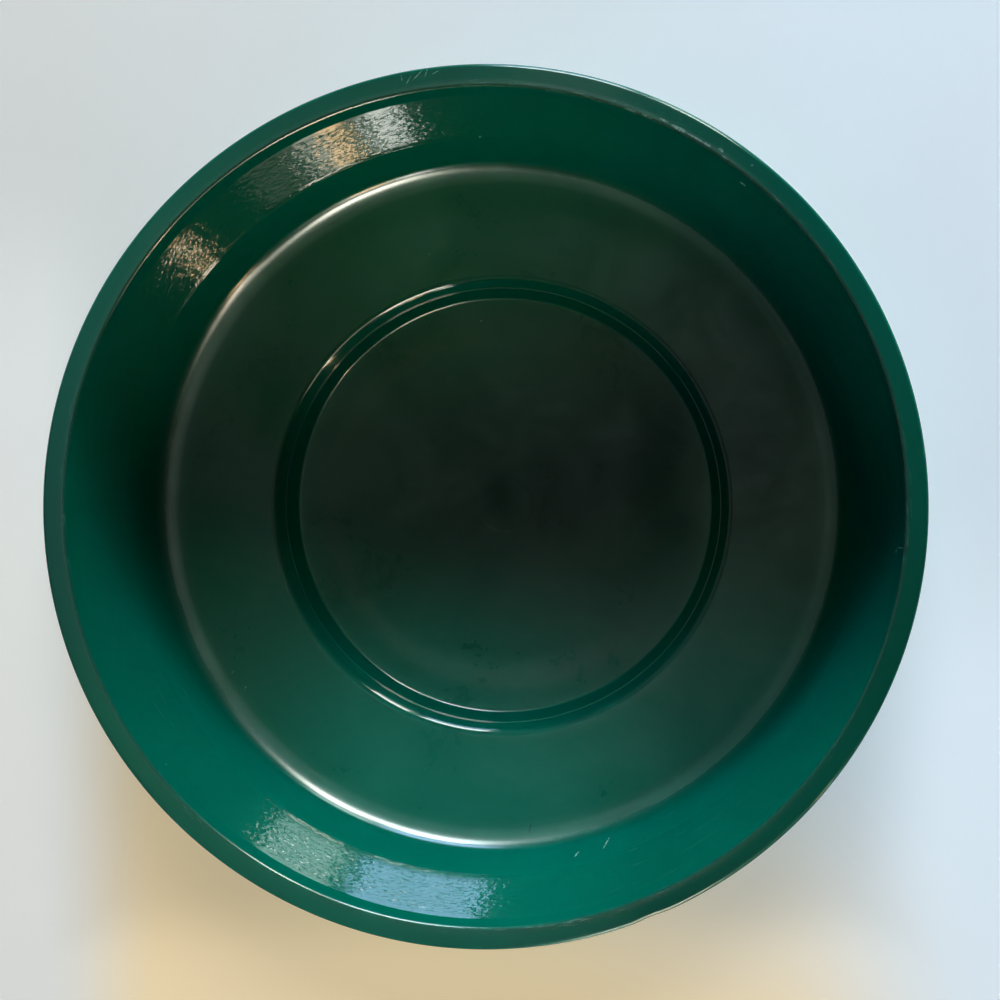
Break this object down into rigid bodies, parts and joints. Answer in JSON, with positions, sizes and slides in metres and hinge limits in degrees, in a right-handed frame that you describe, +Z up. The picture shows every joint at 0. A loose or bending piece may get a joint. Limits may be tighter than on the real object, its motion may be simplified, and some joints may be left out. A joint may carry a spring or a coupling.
{
  "type": "gold pan",
  "caption": "Round one-piece plastic gold pan: turned-down lip, sloping wall, wide flat ledge and a stepped central floor for washing gravel by hand.",
  "frame": {"origin": "centre of the underside, on the plane the pan rests on", "axes": "+Z up through the open mouth, along the pan's axis of symmetry; +X and +Y are any two radii at right angles, because the pan is round"},
  "size_m": [0.3556, 0.3556, 0.0527],
  "materials": {
    "green_plastic": "deep green moulded polypropylene, glossy on the walls and satin with fine scuffs on the flats"
  },
  "bodies": {
    "root": {"pan": "green_plastic"}
  },
  "joints": []
}
